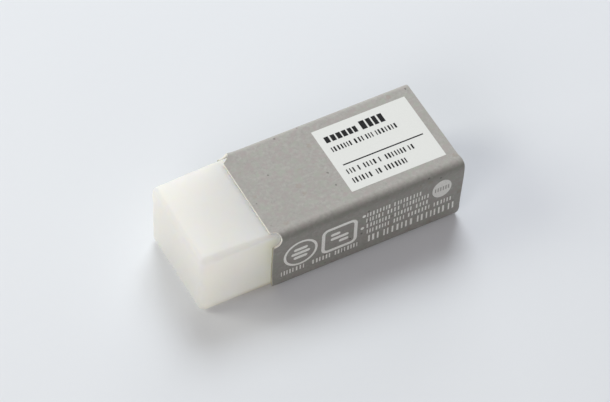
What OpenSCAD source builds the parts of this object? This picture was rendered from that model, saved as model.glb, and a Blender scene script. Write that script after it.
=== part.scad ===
// Block eraser in a folded card sleeve.
// Millimetres. X runs along the length, with the bare end of the block at -X and the
// printed narrow side of the sleeve at -Y. The origin is under the middle, on the table.

/* [Sleeve] */
// Width across the outside of the sleeve
sleeve_w = 17.5; // [14:0.1:24]
// Height over the outside of the sleeve
sleeve_h = 12.2; // [9:0.1:16]
// Length of the sleeve from its mouth to its back end
sleeve_l = 31.6; // [20:0.1:45]
// Thickness of the card
card_t = 0.34; // [0.25:0.01:0.5]
// Outside radius of each fold
fold_r = 1.1; // [0.9:0.05:1.6]

/* [Glued seam] */
// Height of the glue flap, above the fold that it stands on
flap_h = 6.8; // [3:0.1:7.4]
// Length that each slanted end of the glue flap takes off its top edge
flap_taper = 1.6; // [0:0.1:3]
// Height above the table of the outer panel's free edge
free_edge_z = 0.5; // [0.3:0.05:1]

/* [Die-cut notches] */
// Width of each notch, round its fold: far top, near top, near bottom, far bottom
notch_w = [2.0, 2.6, 2.6, 2.6]; // [1.8:0.1:3.4]
// Depth of each notch from the mouth, in the same order
notch_depth = [1.2, 1.6, 1.6, 1.6]; // [0.8:0.1:2.6]
// Distance of each notch past its fold, in the same order
notch_shift = [0.3, 0.8, 0.9, 0.3]; // [-0.9:0.05:0.9]

/* [Block] */
// Length of the block
block_l = 42.9; // [36:0.1:60]
// Length of the block that stands out of the sleeve's mouth
block_out = 11.4; // [3:0.1:18]
// Radius of the block's worn edges and corners
block_edge_r = 1.05; // [0.6:0.05:2]
// Clearance between the block and the card on each side
fit_gap = 0.06; // [0.03:0.01:0.15]

/* [Hidden] */

// How far a cutter runs past the surface that it leaves
overcut = 0.3;
// Stations along the outline of a notch
notch_steps = 20;
$fn = 64;

overall_l = max(block_out + sleeve_l, block_l);
block_x = -overall_l / 2;
mouth_x = block_x + block_out;
back_x = mouth_x + sleeve_l;

// The glue flap lies inside the far panel, so the block has two layers of card there
inside_near_y = -sleeve_w / 2 + card_t;
inside_far_y = sleeve_w / 2 - 2 * card_t;
block_w = inside_far_y - inside_near_y - 2 * fit_gap;
block_h = sleeve_h - 2 * card_t - 2 * fit_gap;
// The edges are never tighter than the inside of the folds that they slide past
edge_r = max(block_edge_r, fold_r - card_t);

// Middle surface of the card in a fold, and the half of its quarter turn
mid_r = fold_r - card_t / 2;
half_arc = mid_r * PI / 4;

// Each fold: its centre in Y and Z, the direction in which its quarter turn starts,
// and the layers of card there. The glue flap's fold lies inside the outer panel.
far_top = [sleeve_w / 2 - fold_r, sleeve_h - fold_r, 0, 1];
near_top = [-sleeve_w / 2 + fold_r, sleeve_h - fold_r, 90, 1];
near_bottom = [-sleeve_w / 2 + fold_r, fold_r, 180, 1];
far_bottom = [sleeve_w / 2 - card_t - fold_r, fold_r, 270, 2];
FOLDS = [far_top, near_top, near_bottom, far_bottom];

// Box whose edges and corners are all rounded to the same radius
module soft_box(size, r) {
    inner = [size.x - 2 * r, size.y - 2 * r, size.z - 2 * r];
    cube([size.x, inner.y, inner.z], center = true);
    cube([inner.x, size.y, inner.z], center = true);
    cube([inner.x, inner.y, size.z], center = true);
    for (y = [-1, 1], z = [-1, 1])
        translate([0, y * inner.y / 2, z * inner.z / 2])
            rotate([0, 90, 0])
                cylinder(r = r, h = inner.x, center = true);
    for (x = [-1, 1], z = [-1, 1])
        translate([x * inner.x / 2, 0, z * inner.z / 2])
            rotate([90, 0, 0])
                cylinder(r = r, h = inner.y, center = true);
    for (x = [-1, 1], y = [-1, 1])
        translate([x * inner.x / 2, y * inner.y / 2, 0])
            cylinder(r = r, h = inner.z, center = true);
    for (x = [-1, 1], y = [-1, 1], z = [-1, 1])
        translate([x * inner.x / 2, y * inner.y / 2, z * inner.z / 2])
            sphere(r = r);
}

// Runs an outline drawn in Y and Z along X, from one place to another
module along_x(from, to) {
    translate([from, 0, 0])
        rotate([90, 0, 90])
            linear_extrude(to - from)
                children();
}

// Section of one fold: a quarter ring of card
module fold_section(fold) {
    translate([fold[0], fold[1]])
        rotate(fold[2])
            intersection() {
                difference() {
                    circle(fold_r);
                    circle(fold_r - card_t);
                }
                square(2 * fold_r);
            }
}

// Section of the wrap: far, top, near and bottom panels with their folds
module wrap_section() {
    straight_z = sleeve_h - 2 * fold_r;
    translate([sleeve_w / 2 - card_t, free_edge_z])
        square([card_t, sleeve_h - fold_r - free_edge_z]);
    translate([near_top[0], sleeve_h - card_t])
        square([far_top[0] - near_top[0], card_t]);
    translate([-sleeve_w / 2, fold_r])
        square([card_t, straight_z]);
    translate([near_bottom[0], 0])
        square([far_bottom[0] - near_bottom[0], card_t]);
    for (fold = FOLDS)
        fold_section(fold);
}

// Glue flap: stands on the far bottom fold, against the inside of the far panel
module glue_flap() {
    translate([0, sleeve_w / 2 - card_t, fold_r])
        rotate([90, 0, 0])
            linear_extrude(card_t)
                polygon([
                    [mouth_x, 0],
                    [back_x, 0],
                    [back_x - flap_taper, flap_h],
                    [mouth_x + flap_taper, flap_h]
                ]);
}

// Point of the bent sheet. s runs round the sleeve from the middle of the fold,
// and n outwards from the card's middle surface.
function bent(fold, s, n, x) =
    let (
        past = max(abs(s) - half_arc, 0) * sign(s),
        turn = fold[2] + 45 + (s - past) / half_arc * 45,
        reach = mid_r + n
    )
    [
        x,
        fold[0] + reach * cos(turn) - past * sin(turn),
        fold[1] + reach * sin(turn) + past * cos(turn)
    ];

// A round-ended notch that was cut in the flat sheet across a fold line and bent with it,
// as the solid that it takes out of every layer of card there
module bent_notch(fold, width, depth, shift) {
    inner = -card_t / 2 - overcut;
    outer = inner + fold[3] * card_t + 2 * overcut;
    round_depth = min(width / 2, depth);
    outline = [for (i = [0 : notch_steps])
        let (a = 180 * i / notch_steps)
        [shift - width / 2 * cos(a), depth - round_depth * (1 - sin(a))]];
    points = [for (p = outline) each [
        bent(fold, p[0], inner, mouth_x - overcut),
        bent(fold, p[0], outer, mouth_x - overcut),
        bent(fold, p[0], outer, mouth_x + p[1]),
        bent(fold, p[0], inner, mouth_x + p[1])
    ]];
    last = 4 * notch_steps;
    sides = [for (i = [0 : notch_steps - 1], k = [0 : 3])
        let (a = 4 * i + k, b = 4 * i + (k + 1) % 4)
        each [[a, b + 4, a + 4], [a, b, b + 4]]];
    ends = [
        [0, 2, 1], [0, 3, 2],
        [last, last + 1, last + 2], [last, last + 2, last + 3]
    ];
    polyhedron(points = points, faces = concat(sides, ends));
}

module eraser_block() {
    color("ivory")
        translate([
            block_x + block_l / 2,
            (inside_near_y + inside_far_y) / 2,
            sleeve_h / 2
        ])
            soft_box([block_l, block_w, block_h], edge_r);
}

module card_sleeve() {
    color("darkgray")
        difference() {
            union() {
                along_x(mouth_x, back_x)
                    wrap_section();
                glue_flap();
            }
            for (i = [0 : len(FOLDS) - 1])
                bent_notch(FOLDS[i], notch_w[i], notch_depth[i], notch_shift[i]);
        }
}

eraser_block();
card_sleeve();
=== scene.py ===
import math
import random

import bmesh
import bpy
from mathutils import Matrix, Vector, noise


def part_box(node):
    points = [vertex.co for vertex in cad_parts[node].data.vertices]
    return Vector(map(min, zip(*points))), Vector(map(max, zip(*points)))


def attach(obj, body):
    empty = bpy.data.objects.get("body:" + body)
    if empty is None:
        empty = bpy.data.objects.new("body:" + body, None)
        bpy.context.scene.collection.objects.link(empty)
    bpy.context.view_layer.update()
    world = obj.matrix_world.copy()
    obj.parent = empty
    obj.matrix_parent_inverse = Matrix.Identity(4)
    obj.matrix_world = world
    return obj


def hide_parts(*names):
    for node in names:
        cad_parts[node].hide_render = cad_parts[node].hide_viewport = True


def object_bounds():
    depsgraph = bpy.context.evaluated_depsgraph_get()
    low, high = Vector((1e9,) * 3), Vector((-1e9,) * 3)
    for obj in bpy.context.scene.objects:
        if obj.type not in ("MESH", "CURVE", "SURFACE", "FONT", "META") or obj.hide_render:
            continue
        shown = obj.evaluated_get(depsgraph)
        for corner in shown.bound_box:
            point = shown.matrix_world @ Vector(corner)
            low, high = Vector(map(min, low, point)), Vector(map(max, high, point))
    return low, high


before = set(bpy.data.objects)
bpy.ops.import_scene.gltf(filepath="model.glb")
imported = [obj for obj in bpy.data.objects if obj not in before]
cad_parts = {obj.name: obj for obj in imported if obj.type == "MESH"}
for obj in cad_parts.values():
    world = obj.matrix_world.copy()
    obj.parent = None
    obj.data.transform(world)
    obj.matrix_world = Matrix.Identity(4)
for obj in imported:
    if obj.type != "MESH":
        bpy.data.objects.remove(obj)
cad_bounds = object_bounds()

# Lengths in this script are millimetres, and become metres where a mesh, lamp or camera is made.
MM = 0.001

# ---------------------------------------------------------------- sizes from the CAD frame

sleeve_low, sleeve_high = (Vector(corner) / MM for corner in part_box("card_sleeve"))
block_low, block_high = (Vector(corner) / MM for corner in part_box("eraser_block"))
mouth_x, back_x = sleeve_low.x, sleeve_high.x
half_width, height = sleeve_high.y, sleeve_high.z
object_centre = (Vector(cad_bounds[0]) + Vector(cad_bounds[1])) / 2 / MM

# ---------------------------------------------------------------- the card

CARD = 0.34                 # thickness
FOLD_R = 1.1                # outside radius of a fold
FREE_EDGE_Z = 0.5           # lower edge of the outer far panel
FLAP_HEIGHT = 6.8           # glue flap, inside the far panel
FLAP_TAPER = 1.6            # taken off the flap's top edge by each slanted end
LAP_GAP = 0.02              # between the flap and the panel glued over it
RIM = 0.07                  # rounding of the cut edges
# Notches at the mouth: how far past its fold, half width, depth, how far its tip leans towards
# the panel before, and how pointed it is
NOTCHES = (
    (0.25, 1.25, 1.4, 0.35, 1.5),       # far top
    (0.9, 1.3, 1.43, 0.0, 0.75),        # near top
    (0.9, 1.3, 1.6, 0.0, 0.75),         # near bottom
    (0.3, 1.3, 1.6, 0.0, 0.75),         # far bottom
)
LAP_NOTCH = (0.0, 1.47, 1.6, 0.0, 0.75)         # the far bottom one's part in the outer far panel
PANEL_BULGE = 0.025         # how far a panel's middle stands proud, give or take half
BULGE_WAVE = 9              # over what length that changes
CREASE = 0.08               # how far the near folds are pressed out past round ones
FOLD_REACH = 0.45           # how far a fold's crease, and its wear with a painted highlight, reach from its middle
END_REACH = 0.5             # how far the painted shade on the narrow panels' cut edges reaches from the mouth and the back end
NEAR_LEAN = (0.42, 0.2)     # how far out the near panel's top leans, at the mouth and at the back
# Where the card's painted shade starts to change, from the middle of each fold, and over what length
PAINTED_SHADE_STARTS = (-0.3, 0.1, -0.1, 0.0)
PAINTED_SHADE_RUN = 0.4
# The painted shade line under the near top fold: where it is, from there down, and its reach up and down
PAINTED_SHADE_LINE = (-0.15, 0.35, 0.8)
CARD_STEP = 0.45            # spacing of the mesh on the flat panels
END_ROWS = (0.0, 0.1, 0.4, 0.8)         # its first rows, from each end of the sleeve
FOLD_STEPS = 10             # columns of the mesh round a fold
NOTCH_STEPS = 20            # columns across a notch
COLUMN_GAP = 0.004          # the least between two columns

mid_r = FOLD_R - CARD / 2
arc = mid_r * math.pi / 2
FAR, TOP, NEAR, BOTTOM, FLAP = range(5)
panel_lengths = (
    height - FOLD_R - FREE_EDGE_Z,
    2 * (half_width - FOLD_R),
    height - 2 * FOLD_R,
    2 * (half_width - FOLD_R) - CARD - LAP_GAP,
    FLAP_HEIGHT,
)
panel_starts = [sum(panel_lengths[:i]) + arc * i for i in range(5)]
panel_ends = [start + length for start, length in zip(panel_starts, panel_lengths)]
fold_middles = [end + arc / 2 for end in panel_ends[:FLAP]]
sheet_end = panel_ends[FLAP]

# Where the card is pulled open at the mouth: places round the sleeve, reach there, how far, and
# how far in from the mouth
FLARES = ((fold_middles[FAR], 1.0, 0.32, 1.6), (panel_ends[NEAR] - 0.3, 0.8, 0.12, 2.2))
# Where the back end's cut runs out of square: places round the sleeve, and the shift in X there
BACK_LEAN = (
    (panel_ends[TOP] - 1.0, 0.0),
    (panel_starts[NEAR] + 0.8, 0.33),
    (panel_ends[NEAR] - 0.4, -0.05),
    (fold_middles[NEAR] + 0.1, -0.45),
    (panel_starts[BOTTOM] + 0.9, 0.0),
)


def smooth_step(t):
    t = min(max(t, 0.0), 1.0)
    return t * t * (3 - 2 * t)


def rise(value, start, run):
    """0 up to the start, and smoothly up to 1 over the run."""
    return smooth_step((value - start) / run)


def back_lean(s):
    """The shift in X of the back end's cut at s."""
    for (s0, dx0), (s1, dx1) in zip(BACK_LEAN, BACK_LEAN[1:]):
        if s0 <= s <= s1:
            return dx0 + (dx1 - dx0) * rise(s, s0, s1 - s0)
    return 0.0


def near_lean(s, along):
    """How far the near panel leans out, from its top fold down to nothing at its lower edge."""
    amount = NEAR_LEAN[0] + (NEAR_LEAN[1] - NEAR_LEAN[0]) * along
    turn = (s - panel_ends[TOP]) / mid_r
    if turn < 0 or s > panel_ends[NEAR]:
        return 0.0
    down = (s - panel_starts[NEAR]) / panel_lengths[NEAR]
    return amount * (math.sin(turn) ** 2 if down < 0 else max(1 - down, 0) ** 1.5)


def proud(s, x):
    """How far the card stands off its nominal place: the near panel's lean, pressed folds, bulged
    panels and a mouth that was opened."""
    along = (x - mouth_x) / (back_x - mouth_x)
    out = near_lean(s, along)
    for middle in fold_middles[TOP:BOTTOM]:
        out += CREASE * math.exp(-(((s - middle) / FOLD_REACH) ** 2))
    for panel in (FAR, TOP, NEAR):
        across = (s - panel_starts[panel]) / panel_lengths[panel]
        if 0 < across < 1:
            dome = 4 * across * (1 - across) * 4 * along * (1 - along)
            out += PANEL_BULGE * dome * (1 + 0.5 * noise.noise(Vector((s, x, 0)) / BULGE_WAVE))
    for place, reach, amount, depth in FLARES:
        out += amount * math.exp(-(((s - place) / reach) ** 2) - ((x - mouth_x) / depth) ** 2)
    return out


def painted_shade(s):
    """The card's painted shade at s: 0 on the wide panels, 0.5 on the narrow ones, and up to 1 in the painted
    dark line where the near top fold ends."""
    far, top, near, bottom = (
        rise(s, middle + start, PAINTED_SHADE_RUN) for middle, start in zip(fold_middles, PAINTED_SHADE_STARTS)
    )
    narrow = 1 - far + top - near + bottom
    place, reach_up, reach_down = PAINTED_SHADE_LINE
    down = s - panel_starts[NEAR] - place
    line = math.exp(-((down / (reach_up if down < 0 else reach_down)) ** 2))
    return 0.5 * narrow + 0.5 * line


def card_point(s, x, n):
    """Point of the folded card, in metres. s runs round the sleeve from the outer far panel's
    free edge, over the top, and n outwards from the card's middle surface."""
    y, z, turn = half_width - CARD / 2, FREE_EDGE_Z, 0.0
    left = s
    for panel, length in enumerate(panel_lengths):
        run = left if panel == FLAP else min(left, length)
        y -= run * math.sin(turn)
        z += run * math.cos(turn)
        left -= run
        if left <= 0:
            break
        bend = min(left, arc)
        y -= mid_r * math.cos(turn)
        z -= mid_r * math.sin(turn)
        turn += bend / mid_r
        y += mid_r * math.cos(turn)
        z += mid_r * math.sin(turn)
        left -= bend
    n += proud(s, x)
    return Vector((x, y + n * math.cos(turn), z + n * math.sin(turn))) * MM


def flap_cut(s):
    """How far the glue flap's slanted ends have come in at s."""
    return FLAP_TAPER * max(s - panel_starts[FLAP], 0) / FLAP_HEIGHT


def notch_stations(centre, half, depth, lean, point):
    """(s, depth from the mouth) round a notch, a rim's width outside its cut."""
    reach = half + RIM
    stations = [(centre - reach, RIM), (centre + reach, RIM)]
    for i in range(1, NOTCH_STEPS):
        a = math.pi * i / NOTCH_STEPS
        s = centre - reach * math.cos(a) - lean * math.sin(a) ** 2
        stations.append((s, RIM + depth * math.sin(a) ** point))
    return stations


def spread(start, end, step):
    """Even places from start to end, no further apart than step."""
    count = max(math.ceil((end - start) / step), 1)
    return [start + (end - start) * i / count for i in range(count + 1)]


def card_columns():
    """(s, x at the mouth, x at the back) of each column of the card's mesh, a rim in from its edges."""
    notches = [(middle + shift, *shape) for middle, (shift, *shape) in zip(fold_middles, NOTCHES)]
    notches.append(LAP_NOTCH)
    plain = set()
    for start, end in zip(panel_starts, panel_ends):
        plain.update(spread(start, end, CARD_STEP))
    for end in panel_ends[:FLAP]:
        plain.update(spread(end, end + arc, arc / FOLD_STEPS))
    plain.update((RIM, 2 * RIM, sheet_end - 2 * RIM, sheet_end - RIM))
    stations = [(s, RIM) for s in plain if all(abs(s - n[0]) > n[1] + 2 * RIM for n in notches)]
    for notch in notches:
        stations += notch_stations(*notch)
    stations.append((RIM, LAP_NOTCH[2] + RIM))
    stations = sorted(station for station in stations if RIM <= station[0] <= sheet_end - RIM)
    spaced = [stations[0]]
    for station in stations[1:]:
        if station[0] - spaced[-1][0] > COLUMN_GAP:
            spaced.append(station)
    return [
        (s, mouth_x + max(depth, flap_cut(s) + RIM), back_x - flap_cut(s) - RIM + back_lean(s))
        for s, depth in spaced
    ]


def new_mesh_object(name, points, faces, materials, face_materials=None):
    """A smooth-shaded object in the scene, from points in metres."""
    mesh = bpy.data.meshes.new(name)
    mesh.from_pydata(points, [], faces)
    mesh.validate()
    for material in materials:
        mesh.materials.append(material)
    if face_materials:
        mesh.polygons.foreach_set("material_index", face_materials)
    mesh.polygons.foreach_set("use_smooth", [True] * len(mesh.polygons))
    mesh.update()
    piece = bpy.data.objects.new(name, mesh)
    bpy.context.scene.collection.objects.link(piece)
    return piece


def set_attribute(piece, name, values):
    piece.data.attributes.new(name, "FLOAT", "POINT").data.foreach_set("value", values)


OUTER, INNER, CUT = range(3)


def make_sleeve(materials):
    """The folded card as one closed sheet: an outer and an inner face, and a rounded rim."""
    columns = card_columns()
    length = back_x - mouth_x
    *ends, last = (place / length for place in END_ROWS)
    rows = ends + spread(last, 1 - last, CARD_STEP / length) + [1 - end for end in reversed(ends)]
    flat = [(s, x0 + (x1 - x0) * t) for s, x0, x1 in columns for t in rows]
    across, along = len(columns), len(rows)

    def index(i, j):
        return i * along + j

    places = [(s, x, CARD / 2) for s, x in flat] + [(s, x, -CARD / 2) for s, x in flat]
    faces, kinds = [], []
    for i in range(across - 1):
        for j in range(along - 1):
            quad = (index(i, j), index(i + 1, j), index(i + 1, j + 1), index(i, j + 1))
            faces.append(quad)
            faces.append(tuple(len(flat) + v for v in reversed(quad)))
            kinds += [OUTER, INNER]

    loop = [index(i, 0) for i in range(across - 1)]
    loop += [index(across - 1, j) for j in range(along - 1)]
    loop += [index(i, along - 1) for i in range(across - 1, 0, -1)]
    loop += [index(0, j) for j in range(along - 1, 0, -1)]
    half = CARD / 2
    slant = RIM * math.sin(math.pi / 4)
    profile = ((slant, half - RIM + slant), (RIM, half - RIM), (RIM, RIM - half), (slant, RIM - half - slant))
    rings = [loop]
    for outset, n in profile:
        ring = []
        for k, v in enumerate(loop):
            (s0, x0), (s1, x1) = flat[loop[k - 1]], flat[loop[(k + 1) % len(loop)]]
            # The outline runs with the card on its left, so this points away from the card
            out = Vector((x1 - x0, s0 - s1)).normalized()
            ring.append(len(places))
            places.append((flat[v][0] + out.x * outset, flat[v][1] + out.y * outset, n))
        rings.append(ring)
    rings.append([len(flat) + v for v in loop])
    for upper, lower in zip(rings, rings[1:]):
        for k in range(len(loop)):
            k1 = (k + 1) % len(loop)
            faces.append((upper[k], lower[k], lower[k1], upper[k1]))
            kinds.append(CUT)

    piece = new_mesh_object("sleeve_card", [card_point(*p) for p in places], faces, materials, kinds)
    # Nearness to a fold, for the folds' wear and painted highlight
    set_attribute(piece, "fold", [
        max(math.exp(-(((s - middle) / FOLD_REACH) ** 2)) for middle in fold_middles) for s, x, n in places
    ])
    # Nearness to the mouth or the back end, for the painted shade on the narrow panels' cut edges
    set_attribute(piece, "end", [
        math.exp(-min(x - mouth_x, back_x - x) / END_REACH) for s, x, n in places
    ])
    set_attribute(piece, "ply", [n / CARD + 0.5 for s, x, n in places])
    # Painted shade: the narrow panels darker, and a dark line under the near top fold
    set_attribute(piece, "painted_shade", [painted_shade(s) for s, x, n in places])
    return piece


# ---------------------------------------------------------------- the block

# Rounding of the edges at the low and the high side in X, Y and Z: worn at the free end, and
# as moulded in the sleeve
WORN_ROUNDING = ((1.0, 0.85), (1.15, 1.1), (0.75, 1.2))
MOULDED_ROUNDING = ((1.2, 0.85), (0.85, 0.45), (0.9, 0.6))
WORN_LENGTH = 10.0          # where the wear has run out, from the free end
BLOCK_ARC_STEPS = 8         # cells of its mesh across a rounded edge
BLOCK_FLAT_STEPS = 36       # and between two of them
BLOCK_SAG = 0.03            # how far the block's faces dip below the CAD block's, at most
SAG_WAVE = 6                # over what length that changes
BLOCK_SWELL = 0.035         # how far its near side bulges out at the mouth
SWELL_REACH = 4             # and how far along that is felt
FAR_SWELL = (0.25, 0.12)    # how far its far side bulges over the glue flap, worn and as moulded
FAR_SWELL_Z = (0.8, 2.4)    # where that bulge starts above the flap, and its rise
FAR_SWELL_Y = (3, 4)        # the same across the block, from its middle
WORN_CORNER = 0.1           # taken off the free end's far top corner
WORN_REACH = 3.5            # and how far from that corner
# Painted shade on the long sides, as a start and a run: out from the middle in Y, and up in Z
SIDE_Y = (6.9, 0.9)
PAINTED_SIDE_SHADE_Z = (10.4, 1.2)
PAINTED_CONTACT_SHADE_Z = (0.3, 1.6)
PAINTED_SHADE_AWAY = 0.3            # their strength far from the mouth, where it is 1
PAINTED_SIDE_SHADE_REACH = 1.2          # how far from the mouth they stay strong
PAINTED_CONTACT_SHADE_REACH = 6


def block_axis(axis, step, low_r, high_r):
    """A grid line's place on the block's core, and how far it stands out of that, in radii."""
    low, high = block_low[axis] + low_r, block_high[axis] - high_r
    if step < BLOCK_ARC_STEPS:
        return low, -math.tan(math.pi / 4 * (1 - step / BLOCK_ARC_STEPS))
    if step > BLOCK_ARC_STEPS + BLOCK_FLAT_STEPS:
        return high, math.tan(math.pi / 4 * ((step - BLOCK_FLAT_STEPS) / BLOCK_ARC_STEPS - 1))
    return low + (high - low) * (step - BLOCK_ARC_STEPS) / BLOCK_FLAT_STEPS, 0.0


def block_point(steps):
    """The rounded block's point for a point of its grid, in metres."""
    x = block_axis(0, steps[0], *WORN_ROUNDING[0])[0]
    moulded = rise(x, block_low.x, WORN_LENGTH)
    core, lift, radii = Vector(), Vector(), []
    for axis, (worn, fresh) in enumerate(zip(WORN_ROUNDING, MOULDED_ROUNDING)):
        radii.append([w + (f - w) * moulded for w, f in zip(worn, fresh)])
        core[axis], lift[axis] = block_axis(axis, steps[axis], *radii[axis])
    lift.normalize()
    stretched = Vector([lift[axis] * radii[axis][0 if lift[axis] < 0 else 1] for axis in range(3)])
    place = core + stretched
    over_flap = rise(place.z - FREE_EDGE_Z - FLAP_HEIGHT, *FAR_SWELL_Z)
    swell = FAR_SWELL[0] + (FAR_SWELL[1] - FAR_SWELL[0]) * moulded
    place.y += swell * over_flap * rise(place.y, *FAR_SWELL_Y)
    sag = BLOCK_SAG * (0.5 + 0.5 * noise.noise(place / SAG_WAVE))
    sag -= BLOCK_SWELL * max(-lift.y, 0) * math.exp(-(((x - mouth_x) / SWELL_REACH) ** 2))
    corner = Vector((block_low.x, block_high.y, block_high.z))
    sag += WORN_CORNER * math.exp(-(((place - corner).length / WORN_REACH) ** 2))
    return (place - lift * sag) * MM


def painted_side_shade_at(x, y, z):
    """How strong the painted warm shade on the block is: on its long sides, most of all at the mouth."""
    side = rise(abs(y), *SIDE_Y) * (1 - rise(z, *PAINTED_SIDE_SHADE_Z))
    return side * (PAINTED_SHADE_AWAY + (1 - PAINTED_SHADE_AWAY) * math.exp(-abs(x - mouth_x) / PAINTED_SIDE_SHADE_REACH))


def painted_contact_shade_at(x, y, z):
    """How strong the painted contact shade on the block is: along the bottom edges of its long sides, most of
    all by the mouth.
    """
    edge = rise(abs(y), *SIDE_Y) * (1 - rise(z, *PAINTED_CONTACT_SHADE_Z))
    return edge * (PAINTED_SHADE_AWAY + (1 - PAINTED_SHADE_AWAY) * math.exp(-(((x - mouth_x) / PAINTED_CONTACT_SHADE_REACH) ** 2)))


def make_block(material):
    """The block as a closed grid, dense on its rounded edges, with its painted shade as attributes."""
    cells = 2 * BLOCK_ARC_STEPS + BLOCK_FLAT_STEPS
    bm = bmesh.new()
    bmesh.ops.create_cube(bm, size=2)
    bmesh.ops.subdivide_edges(bm, edges=bm.edges[:], cuts=cells - 1, use_grid_fill=True)
    for vertex in bm.verts:
        vertex.co = block_point([round((c + 1) / 2 * cells) for c in vertex.co])
    # Painted warm shade on the long sides, strongest by the mouth
    painted_side_shade = [painted_side_shade_at(*(v.co / MM)) for v in bm.verts]
    # Painted contact shade along the long sides' bottom edges
    painted_contact_shade = [painted_contact_shade_at(*(v.co / MM)) for v in bm.verts]
    mesh = bpy.data.meshes.new("bare_block")
    bm.to_mesh(mesh)
    bm.free()
    mesh.materials.append(material)
    mesh.polygons.foreach_set("use_smooth", [True] * len(mesh.polygons))
    piece = bpy.data.objects.new("bare_block", mesh)
    set_attribute(piece, "painted_side_shade", painted_side_shade)
    set_attribute(piece, "painted_contact_shade", painted_contact_shade)
    bpy.context.scene.collection.objects.link(piece)
    return piece


# ---------------------------------------------------------------- the print

INK_LIFT = 0.012            # height of one coat of ink
INK_SINK = 0.02             # how deep its underside lies in the card
INK_STEP = 0.9              # spacing of the mesh inside a mark
DASH_STEPS = 4              # cells of the mesh from a dash's middle to its edge
DASH_ENDS = 0.98            # how full its round ends are
DISC_STEPS = 12             # cells across a disc
BULLET_STEPS = 4            # and across a bullet
CORNER_STEPS = 10           # cells round a line's corner


def on_top(u, v, n):
    """Point of the top panel, from X and Y."""
    return card_point(panel_starts[TOP] + half_width - FOLD_R - v, u, CARD / 2 + n)


def on_near(u, v, n):
    """Point of the near narrow panel, from X and Z."""
    return card_point(panel_starts[NEAR] + height - FOLD_R - v, u, CARD / 2 + n)


def bar(u0, u1, v0, v1):
    """A rectangle, as rows of points."""
    return [[(u, v) for u in spread(u0, u1, INK_STEP)] for v in spread(v0, v1, INK_STEP)], False


def dash(u0, u1, v, thickness):
    """A bar along U round the line at v, with round ends."""
    r = min(thickness, u1 - u0) / 2
    cells = max(math.ceil((u1 - u0) / INK_STEP), 2)
    rows = []
    for k in range(-DASH_STEPS, DASH_STEPS + 1):
        turn = math.pi / 2 * k / DASH_STEPS
        inset = r - DASH_ENDS * r * math.cos(turn)
        length = u1 - u0 - 2 * inset
        w = thickness / 2 * math.sin(turn)
        rows.append([(u0 + inset + length * i / cells, v + w) for i in range(cells + 1)])
    return rows, False


def disc(u, v, half_u, half_v, steps=DISC_STEPS):
    """A filled ellipse, as a square grid drawn into a round one."""
    rows = []
    for j in range(steps + 1):
        q = 2 * j / steps - 1
        row = []
        for i in range(steps + 1):
            p = 2 * i / steps - 1
            row.append((
                u + half_u * p * math.sqrt(1 - q * q / 2),
                v + half_v * q * math.sqrt(1 - p * p / 2),
            ))
        rows.append(row)
    return rows, False


def rounded_loop(u, v, half_u, half_v, r):
    """Outline of a rectangle with round corners. A circle has the corner radius as its half sizes."""
    points = []
    for quarter, (su, sv) in enumerate(((1, 1), (-1, 1), (-1, -1), (1, -1))):
        for i in range(CORNER_STEPS + 1):
            a = math.pi / 2 * (quarter + i / CORNER_STEPS)
            points.append((u + su * (half_u - r) + r * math.cos(a), v + sv * (half_v - r) + r * math.sin(a)))
    return points


def frame_band(u, v, half_u, half_v, r, stroke):
    """A closed line with a stroke's width, inside the given half sizes."""
    outer = rounded_loop(u, v, half_u, half_v, r)
    inner = rounded_loop(u, v, half_u - stroke, half_v - stroke, r - stroke)
    return [outer, inner], True


def make_print(name, panel, marks, material, coats=1):
    """Marks of ink on a panel, as thin closed slabs that follow the card."""
    points, faces = [], []
    for rows, closed in marks:
        base, width, depth = len(points), len(rows[0]), len(rows)
        for n in (coats * INK_LIFT, -INK_SINK):
            points += [panel(u, v, n) for row in rows for u, v in row]
        lower = width * depth
        top = []
        for j in range(depth - 1):
            for i in range(width if closed else width - 1):
                i1 = (i + 1) % width
                top.append(tuple(base + v for v in (
                    j * width + i, j * width + i1, (j + 1) * width + i1, (j + 1) * width + i
                )))
        edges = {(face[k], face[(k + 1) % 4]) for face in top for k in range(4)}
        rim = [(a, b) for a, b in edges if (b, a) not in edges]
        faces += top
        faces += [tuple(v + lower for v in reversed(face)) for face in top]
        faces += [(b, a, a + lower, b + lower) for a, b in sorted(rim)]
    piece = new_mesh_object(name, points, faces, [material])
    piece.data.polygons.foreach_set("use_smooth", [False] * len(piece.data.polygons))
    return piece


FEWEST = 3                  # bars in a group
STROKES = (0.75, 1.35)      # a bar's thickness, in strokes
GAPS = (0.8, 1.25)          # the space after it, in gaps


def tick_row(chance, u0, u1, v0, v1, stroke, gap, space, most):
    """Upright bars in groups of up to that many, that fill a row from u0 to u1."""
    marks, u, left = [], u0, chance.randint(FEWEST, most)
    while u + stroke < u1:
        end = u + stroke * chance.uniform(*STROKES)
        marks.append(bar(u, end, v0, v1))
        u = end + gap * chance.uniform(*GAPS)
        left -= 1
        if left == 0:
            u += space
            left = chance.randint(FEWEST, most)
    return marks


LABEL = (4.14, 19.89, -6.59, 6.23)      # the white field on top: X from and to, Y from and to
# Rows on the field: X from and to, Y from and to, stroke, gap, space between groups, most in a group
LABEL_ROWS = (
    (5.25, 10.9, 3.3, 4.5, 0.58, 0.24, 0.0, 9),
    (11.3, 16.0, 3.26, 4.95, 0.66, 0.26, 0.0, 9),
    (5.3, 10.6, 1.35, 2.3, 0.22, 0.3, 0.3, 8),
    (11.0, 16.1, 1.35, 2.3, 0.22, 0.3, 0.3, 8),
    (5.3, 7.75, -3.4, -2.45, 0.22, 0.3, 0.3, 6),
    (8.1, 11.0, -3.4, -2.45, 0.22, 0.3, 0.3, 7),
    (11.7, 16.5, -3.4, -2.45, 0.22, 0.3, 0.3, 8),
    (5.3, 8.75, -5.3, -4.32, 0.22, 0.3, 0.3, 9),
    (9.2, 10.3, -5.3, -4.32, 0.22, 0.3, 0.3, 4),
    (10.65, 14.56, -5.3, -4.32, 0.22, 0.3, 0.3, 9),
)
LABEL_RULE = (5.4, 18.8, -1.6, -1.38)   # the long thin line between them
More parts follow.
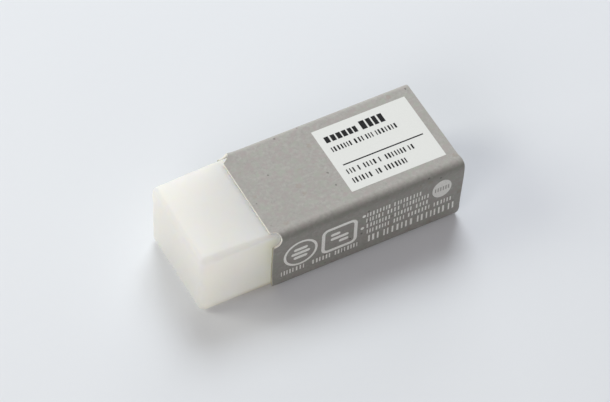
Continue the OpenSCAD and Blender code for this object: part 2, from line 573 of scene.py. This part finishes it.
# Rows on the near side, in the same way, with Z for Y
SIDE_ROWS = (
    (-8.6, -4.1, 2.15, 3.1, 0.19, 0.33, 0.4, 8),
    (-3.4, 4.9, 2.15, 3.1, 0.19, 0.33, 0.4, 8),
    (5.5, 15.3, 8.25, 9.15, 0.19, 0.33, 0.4, 9),
    (5.4, 16.1, 7.0, 7.9, 0.19, 0.33, 0.4, 9),
    (5.5, 16.2, 5.65, 6.55, 0.19, 0.33, 0.4, 9),
    (5.6, 20.2, 4.25, 5.15, 0.19, 0.33, 0.4, 9),
    (5.9, 20.7, 2.15, 3.6, 0.28, 0.44, 0.3, 7),
)
RING = (-5.45, 6.15, 2.8, 0.4)          # middle in X and Z, radius, stroke
PLATE = (0.98, 6.22, 2.96, 2.78, 1.1, 0.55)     # middle, half sizes, corner radius, stroke
BULLETS = ((4.98, 8.69), (4.8, 5.94))   # small dots before the rows
BULLET_R = 0.3
SEAL = (18.1, 7.83, 1.62, 1.87)         # middle and half sizes
# Short bars inside the ring and the plate: X from and to, Z, thickness
RING_BARS = ((-6.6, -4.3, 7.1, 0.6), (-7.0, -3.9, 6.15, 0.6), (-6.6, -4.3, 5.2, 0.6))
PLATE_BARS = ((-0.5, 1.1, 7.2, 0.6), (-0.5, 2.5, 6.22, 0.6), (0.9, 2.5, 5.24, 0.6))
SEAL_BARS = (16.9, 19.1, 7.4, 8.25, 0.22, 0.55)        # X from and to, Z from and to, thickness, spacing


def make_prints(white_ink, pale_ink, seal_ink, black_ink, dull_ink):
    """The print, one piece for each ink: bars, rings and fields of colour in place of lettering."""
    chance = random.Random(11)
    label_marks = [mark for row in LABEL_ROWS for mark in tick_row(chance, *row)]
    label_marks.append(bar(*LABEL_RULE))
    side_marks = [mark for row in SIDE_ROWS for mark in tick_row(chance, *row)]
    ring_u, ring_v, ring_r, ring_stroke = RING
    side_marks.append(frame_band(ring_u, ring_v, ring_r, ring_r, ring_r, ring_stroke))
    side_marks.append(frame_band(*PLATE))
    side_marks += [dash(*mark) for mark in RING_BARS + PLATE_BARS]
    side_marks += [disc(u, v, BULLET_R, BULLET_R, BULLET_STEPS) for u, v in BULLETS]
    u0, u1, v0, v1, stroke, spacing = SEAL_BARS
    seal_marks = [bar(u, u + stroke, v0, v1) for u in spread(u0, u1, spacing)]
    return [
        make_print("label_field", on_top, [bar(*LABEL)], white_ink),
        make_print("label_marks", on_top, label_marks, black_ink, coats=2),
        make_print("side_marks", on_near, side_marks, pale_ink),
        make_print("side_seal", on_near, [disc(*SEAL)], seal_ink),
        make_print("seal_marks", on_near, seal_marks, dull_ink, coats=2),
    ]


# ---------------------------------------------------------------- materials

def new_material(name):
    material = bpy.data.materials.new(name)
    material.use_nodes = True
    return material, material.node_tree, material.node_tree.nodes["Principled BSDF"]


def node(tree, kind, inputs, **settings):
    """A new node. An input's value is a number, a colour or another node's output."""
    made = tree.nodes.new(kind)
    for name, value in settings.items():
        setattr(made, name, value)
    for name, value in inputs.items():
        if isinstance(value, bpy.types.NodeSocket):
            tree.links.new(value, made.inputs[name])
        else:
            made.inputs[name].default_value = value
    return made


def grain(tree, per_mm, detail=3.0, roughness=0.55):
    """Noise from 0 to 1 with that many features a millimetre, fixed to the piece."""
    place = node(tree, "ShaderNodeTexCoord", {}).outputs["Object"]
    inputs = {"Vector": place, "Scale": per_mm / MM, "Detail": detail, "Roughness": roughness}
    return node(tree, "ShaderNodeTexNoise", inputs).outputs["Fac"]


def remap(tree, value, low, high, to_low=0.0, to_high=1.0):
    """The value moved from one range to another, and kept inside it."""
    inputs = {"Value": value, "From Min": low, "From Max": high, "To Min": to_low, "To Max": to_high}
    return node(tree, "ShaderNodeMapRange", inputs).outputs["Result"]


def calculate(tree, operation, a, b):
    made = node(tree, "ShaderNodeMath", {}, operation=operation)
    for socket, value in zip(made.inputs, (a, b)):
        if isinstance(value, bpy.types.NodeSocket):
            tree.links.new(value, socket)
        else:
            socket.default_value = value
    return made.outputs[0]


def mix_colours(tree, amount, a, b):
    made = node(tree, "ShaderNodeMix", {}, data_type="RGBA")
    for socket, value in zip((made.inputs[0], made.inputs[6], made.inputs[7]), (amount, a, b)):
        if isinstance(value, bpy.types.NodeSocket):
            tree.links.new(value, socket)
        else:
            socket.default_value = value
    return made.outputs[2]


def add_bump(tree, shader, height_value, depth_mm, strength=1.0):
    inputs = {"Height": height_value, "Distance": depth_mm * MM, "Strength": strength}
    bump = node(tree, "ShaderNodeBump", inputs)
    tree.links.new(bump.outputs["Normal"], shader.inputs["Normal"])


def attribute(tree, name):
    return node(tree, "ShaderNodeAttribute", {}, attribute_name=name).outputs["Fac"]


def rgb(r, g, b):
    return (r, g, b, 1.0)


def spots(tree, per_mm, share, size, ragged):
    """1 in sparse ragged spots of that size in millimetres, and 0 between them."""
    place = node(tree, "ShaderNodeTexCoord", {}).outputs["Object"]
    noise_inputs = {"Vector": place, "Scale": 3.0 / MM, "Detail": 3.0}
    wobble = node(tree, "ShaderNodeTexNoise", noise_inputs).outputs["Color"]
    moved = node(tree, "ShaderNodeVectorMath", {"Vector": wobble, "Scale": ragged * MM}, operation="SCALE")
    place = node(tree, "ShaderNodeVectorMath", {0: place, 1: moved.outputs[0]}, operation="ADD").outputs[0]
    cells = node(tree, "ShaderNodeTexVoronoi", {"Vector": place, "Scale": per_mm / MM})
    pick = node(tree, "ShaderNodeSeparateColor", {"Color": cells.outputs["Color"]}).outputs[0]
    rare = remap(tree, pick, 1 - share, 1.01 - share)
    inside = remap(tree, cells.outputs["Distance"], size * per_mm / 2, size * per_mm / 3)
    return calculate(tree, "MULTIPLY", rare, inside)


CARD_PALE, CARD_DARK = rgb(0.406, 0.396, 0.372), rgb(0.278, 0.272, 0.251)
CARD_BROWN, CARD_GREEN = rgb(0.353, 0.307, 0.297), rgb(0.325, 0.349, 0.297)
CARD_RUST, CARD_SPECK = rgb(0.282, 0.208, 0.15), rgb(0.08, 0.075, 0.07)
# Pale colour on the folds: wear, and a painted highlight
CARD_WEAR_AND_HIGHLIGHT = rgb(0.476, 0.466, 0.439)
NO_PAINTED_SHADE, DARKEST_PAINTED_SHADE = rgb(1.0, 1.0, 1.0), rgb(0.635, 0.655, 0.62)      # the card's colour factor where the painted shade is 0 and 1


def card_texture(tree):
    """Colour and height of recycled card: clouded pulp, fibres of several tints and a few specks."""
    fibres = grain(tree, 1.8, 5.0, 0.65)
    colour = mix_colours(tree, remap(tree, fibres, 0.3, 0.7), CARD_DARK, CARD_PALE)
    warm = remap(tree, grain(tree, 1.2, 4.0, 0.65), 0.45, 0.65, 0.0, 0.9)
    colour = mix_colours(tree, warm, colour, CARD_BROWN)
    cool = remap(tree, grain(tree, 0.95, 4.0, 0.65), 0.5, 0.7, 0.0, 0.9)
    colour = mix_colours(tree, cool, colour, CARD_GREEN)
    clouds = remap(tree, grain(tree, 0.3, 3.0, 0.6), 0.35, 0.65, 0.0, 0.3)
    colour = mix_colours(tree, clouds, colour, CARD_DARK)
    rust = calculate(tree, "MULTIPLY", spots(tree, 0.6, 0.16, 1.0, 0.9), 0.25)
    colour = mix_colours(tree, rust, colour, CARD_RUST)
    speck = calculate(tree, "MULTIPLY", spots(tree, 1.0, 0.08, 0.42, 0.45), 0.7)
    colour = mix_colours(tree, speck, colour, CARD_SPECK)
    surface = calculate(tree, "ADD", fibres, calculate(tree, "MULTIPLY", grain(tree, 9.0, 2.0), 0.5))
    return colour, surface


def card_outer_material():
    """Recycled card, worn pale with a painted highlight on its folds, with painted shade on its narrow panels
    and a painted dark line under the near top fold.
    """
    material, tree, shader = new_material("grey_card_outside")
    colour, surface = card_texture(tree)
    patches = remap(tree, grain(tree, 1.8, 4.0), 0.35, 0.7, 0.2, 0.5)
    # The folds lighter: wear, and a painted highlight
    worn = calculate(tree, "MULTIPLY", attribute(tree, "fold"), patches)
    colour = mix_colours(tree, worn, colour, CARD_WEAR_AND_HIGHLIGHT)
    # Painted shade: the narrow panels darker, and a dark line under the near top fold
    painted_shade_factor = mix_colours(tree, attribute(tree, "painted_shade"), NO_PAINTED_SHADE, DARKEST_PAINTED_SHADE)
    with_painted_shade = node(tree, "ShaderNodeVectorMath", {0: colour, 1: painted_shade_factor}, operation="MULTIPLY")
    tree.links.new(with_painted_shade.outputs[0], shader.inputs["Base Color"])
    tree.links.new(remap(tree, surface, 0.4, 1.1, 0.55, 0.7), shader.inputs["Roughness"])
    shader.inputs["Specular IOR Level"].default_value = 0.5
    add_bump(tree, shader, surface, 0.02, 0.8)
    return material


INSIDE_DULL, INSIDE_PALE = rgb(0.76, 0.765, 0.77), rgb(0.86, 0.865, 0.87)


def card_inner_material():
    """The card's pale liner, which shows at the mouth and when the block is out."""
    material, tree, shader = new_material("pale_card_inside")
    fibres = grain(tree, 2.2, 5.0, 0.65)
    colour = mix_colours(tree, remap(tree, fibres, 0.3, 0.7), INSIDE_DULL, INSIDE_PALE)
    tree.links.new(colour, shader.inputs["Base Color"])
    tree.links.new(remap(tree, fibres, 0.3, 0.7, 0.8, 0.95), shader.inputs["Roughness"])
    add_bump(tree, shader, fibres, 0.02, 0.7)
    return material


CUT_PALE, CUT_DULL = rgb(0.86, 0.85, 0.79), rgb(0.75, 0.73, 0.67)
CUT_PAINTED_SHADE = rgb(0.40, 0.38, 0.27)     # painted shade on the narrow panels' cut edges, by the mouth and the back end


def card_cut_material():
    """The card's cut edge, with its pale core between two thin liners, and painted shade at the narrow
    panels' ends.
    """
    material, tree, shader = new_material("cream_cut_edge")
    fibres = grain(tree, 5.0, 3.0, 0.6)
    core = mix_colours(tree, remap(tree, fibres, 0.3, 0.7), CUT_DULL, CUT_PALE)
    # Painted shade on the narrow panels' cut edges, by the mouth and the back end
    painted_cut_shade = calculate(tree, "MULTIPLY", attribute(tree, "painted_shade"), attribute(tree, "end"))
    core = mix_colours(tree, remap(tree, painted_cut_shade, 0.2, 0.45), core, CUT_PAINTED_SHADE)
    outer_ply = remap(tree, attribute(tree, "ply"), 0.86, 0.98)
    colour = mix_colours(tree, outer_ply, core, CARD_PALE)
    tree.links.new(colour, shader.inputs["Base Color"])
    tree.links.new(remap(tree, fibres, 0.3, 0.7, 0.8, 0.95), shader.inputs["Roughness"])
    add_bump(tree, shader, fibres, 0.02, 0.8)
    return material


# Each ink: its name, its colour in a full and in a thin coat, its least roughness, and its gloss
INKS = (
    ("white_ink", rgb(0.702, 0.714, 0.691), rgb(0.679, 0.69, 0.668), 0.55, 0.5),
    ("pale_ink", rgb(0.845, 0.841, 0.802), rgb(0.728, 0.723, 0.689), 0.55, 0.5),
    ("seal_ink", rgb(0.73, 0.725, 0.69), rgb(0.61, 0.606, 0.572), 0.55, 0.5),
    ("black_ink", rgb(0.010, 0.010, 0.011), rgb(0.018, 0.018, 0.02), 0.75, 0.2),
    ("grey_ink", rgb(0.36, 0.355, 0.33), rgb(0.32, 0.315, 0.29), 0.6, 0.5),
)


def ink_material(name, full, thin, roughness, gloss):
    """Ink on card: the card's fibres show as a thinner coat and in the bump."""
    material, tree, shader = new_material(name)
    fibres = grain(tree, 2.6, 5.0, 0.7)
    fine = grain(tree, 7.0, 3.0, 0.6)
    colour = mix_colours(tree, remap(tree, fine, 0.35, 0.6), thin, full)
    tree.links.new(colour, shader.inputs["Base Color"])
    tree.links.new(remap(tree, fine, 0.3, 0.7, roughness, roughness + 0.12), shader.inputs["Roughness"])
    shader.inputs["Specular IOR Level"].default_value = gloss
    surface = calculate(tree, "ADD", fibres, calculate(tree, "MULTIPLY", fine, 0.4))
    add_bump(tree, shader, surface, 0.015, 0.6)
    return material


VINYL_PALE, VINYL_DULL = rgb(0.997, 0.997, 0.99), rgb(0.985, 0.985, 0.977)
VINYL_THROUGH, VINYL_THROUGH_DULL = rgb(1.0, 0.994, 0.968), rgb(0.992, 0.984, 0.95)
VINYL_PAINTED_CONTACT_SHADE = rgb(0.45, 0.36, 0.23)     # painted contact shade along its lower edges
VINYL_PAINTED_SIDE_SHADE = rgb(0.95, 0.905, 0.67)   # painted warm shade on its long sides, strongest by the mouth
VINYL_SHARE = 0.57          # the share of light that goes right through
VINYL_REACH = 4.0           # how far light spreads under the surface


def vinyl_material():
    """Soft white vinyl: light spreads under the surface, and some of it goes right through. It has painted
    warm shade on its long sides and painted contact shade along their bottom edges.
    """
    material, tree, shader = new_material("soft_white_vinyl")
    clouds = remap(tree, grain(tree, 0.12, 3.0, 0.5), 0.35, 0.65)
    fine = grain(tree, 3.5, 4.0, 0.6)
    skin = mix_colours(tree, clouds, VINYL_DULL, VINYL_PALE)
    # Painted warm shade on the long sides, strongest by the mouth
    skin = mix_colours(tree, attribute(tree, "painted_side_shade"), skin, VINYL_PAINTED_SIDE_SHADE)
    # Painted contact shade along the long sides' bottom edges
    painted_contact_shade = calculate(tree, "MULTIPLY", attribute(tree, "painted_contact_shade"), remap(tree, fine, 0.3, 0.5, 0.7, 1.0))
    skin = mix_colours(tree, painted_contact_shade, skin, VINYL_PAINTED_CONTACT_SHADE)
    tree.links.new(skin, shader.inputs["Base Color"])
    tree.links.new(remap(tree, fine, 0.3, 0.7, 0.42, 0.54), shader.inputs["Roughness"])
    shader.inputs["Subsurface Weight"].default_value = 1.0
    shader.inputs["Subsurface Radius"].default_value = (1.0, 0.8, 0.5)
    shader.inputs["Subsurface Scale"].default_value = VINYL_REACH * MM
    shader.inputs["IOR"].default_value = 1.5
    surface = calculate(tree, "ADD", fine, calculate(tree, "MULTIPLY", grain(tree, 0.6, 2.0), 2.0))
    add_bump(tree, shader, surface, 0.01, 0.5)
    light = mix_colours(tree, clouds, VINYL_THROUGH_DULL, VINYL_THROUGH)
    # The painted contact shade also darkens the light that goes through
    light = mix_colours(tree, painted_contact_shade, light, VINYL_PAINTED_CONTACT_SHADE)
    through = node(tree, "ShaderNodeBsdfTranslucent", {"Color": light})
    mixed = node(tree, "ShaderNodeMixShader", {0: VINYL_SHARE, 1: shader.outputs[0], 2: through.outputs[0]})
    tree.links.new(mixed.outputs[0], tree.nodes["Material Output"].inputs["Surface"])
    return material


FLOOR_PALE, FLOOR_DULL = rgb(0.728, 0.752, 0.783), rgb(0.709, 0.732, 0.766)


def floor_material():
    """Pale, nearly even table top, with faint clouds."""
    material, tree, shader = new_material("pale_table")
    fine = grain(tree, 0.8, 4.0, 0.6)
    clouds = grain(tree, 0.012, 2.0, 0.5)
    amount = calculate(tree, "ADD", calculate(tree, "MULTIPLY", fine, 0.4), clouds)
    colour = mix_colours(tree, remap(tree, amount, 0.42, 1.0), FLOOR_DULL, FLOOR_PALE)
    tree.links.new(colour, shader.inputs["Base Color"])
    tree.links.new(remap(tree, fine, 0.3, 0.7, 0.6, 0.7), shader.inputs["Roughness"])
    shader.inputs["Specular IOR Level"].default_value = 0.2
    add_bump(tree, shader, fine, 0.01, 0.3)
    return material


# ---------------------------------------------------------------- stage, lights and camera

FLOOR_SIZE = 4000.0


def make_floor(material):
    half = FLOOR_SIZE / 2 * MM
    corners = [(-half, -half, 0), (half, -half, 0), (half, half, 0), (-half, half, 0)]
    floor = new_mesh_object("table_top", corners, [(0, 1, 2, 3)], [material])


# Soft boxes: azimuth and elevation (as the camera's), distance, side, level, colour.
# A level of 1 lights a surface that faces the lamp so that its colour renders as written.
SOFT_BOXES = (
    ("window", 150, 50, 700, 350, 0.583, (0.91, 0.96, 1.0)),
    ("low_window", 150, 13, 700, 350, 0.254, (1.0, 1.0, 1.0)),
    ("left", 240, 30, 700, 350, 0.424, (1.0, 0.99, 0.88)),
    ("front", 305, 28, 700, 350, 0.297, (1.0, 0.96, 0.95)),
)
SKY_COLOUR, SKY_LEVEL = (1.0, 0.95, 0.96), 0.286


def direction(azimuth, elevation):
    """Unit vector towards a lamp or the camera. Azimuth 0 lies to -Y, and 90 to +X."""
    a, e = math.radians(azimuth), math.radians(elevation)
    return Vector((math.sin(a) * math.cos(e), -math.cos(a) * math.cos(e), math.sin(e)))


def make_lights():
    """Four soft boxes and an even sky."""
    for name, azimuth, elevation, distance, side, level, colour in SOFT_BOXES:
        lamp = bpy.data.lights.new(name, "AREA")
        lamp.shape = "SQUARE"
        lamp.size = side * MM
        lamp.energy = level * (math.pi * distance * MM) ** 2
        lamp.color = colour
        holder = bpy.data.objects.new(name, lamp)
        way = direction(azimuth, elevation)
        holder.location = (object_centre + way * distance) * MM
        holder.rotation_mode = "QUATERNION"
        holder.rotation_quaternion = way.to_track_quat("Z", "Y")
        bpy.context.scene.collection.objects.link(holder)
    world = bpy.data.worlds.new("sky")
    world.use_nodes = True
    background = world.node_tree.nodes["Background"]
    background.inputs["Color"].default_value = rgb(*SKY_COLOUR)
    background.inputs["Strength"].default_value = SKY_LEVEL
    bpy.context.scene.world = world


CAMERA_AZIMUTH, CAMERA_ELEVATION, CAMERA_ROLL = -28.877, 50.154, 1.341
CAMERA_DISTANCE = 516.84
CAMERA_LENS = 207.68        # with the default 36 mm sensor
CAMERA_AIM = (-1.13, -2.01, 2.04)       # from the object's centre


def make_camera():
    """A long lens from the front left, turned a little about its own axis."""
    back = direction(CAMERA_AZIMUTH, CAMERA_ELEVATION)
    level = Vector((0, 0, 1)).cross(back).normalized()
    turned = Matrix.Rotation(math.radians(CAMERA_ROLL), 3, back)
    right = turned @ level
    up = back.cross(right)
    camera = bpy.data.objects.new("camera", bpy.data.cameras.new("camera"))
    camera.data.lens = CAMERA_LENS
    place = (object_centre + Vector(CAMERA_AIM) + back * CAMERA_DISTANCE) * MM
    axes = Matrix((right, up, back)).transposed()
    camera.matrix_world = Matrix.Translation(place) @ axes.to_4x4()
    bpy.context.scene.collection.objects.link(camera)
    bpy.context.scene.camera = camera


# ---------------------------------------------------------------- the scene

make_camera()
make_lights()
make_floor(floor_material())
bpy.context.scene.view_settings.view_transform = "Standard"

block = make_block(vinyl_material())
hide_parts("eraser_block")
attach(block, "block")

sleeve = make_sleeve([card_outer_material(), card_inner_material(), card_cut_material()])
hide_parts("card_sleeve")
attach(sleeve, "sleeve")

for mark in make_prints(*(ink_material(*ink) for ink in INKS)):
    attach(mark, "sleeve")
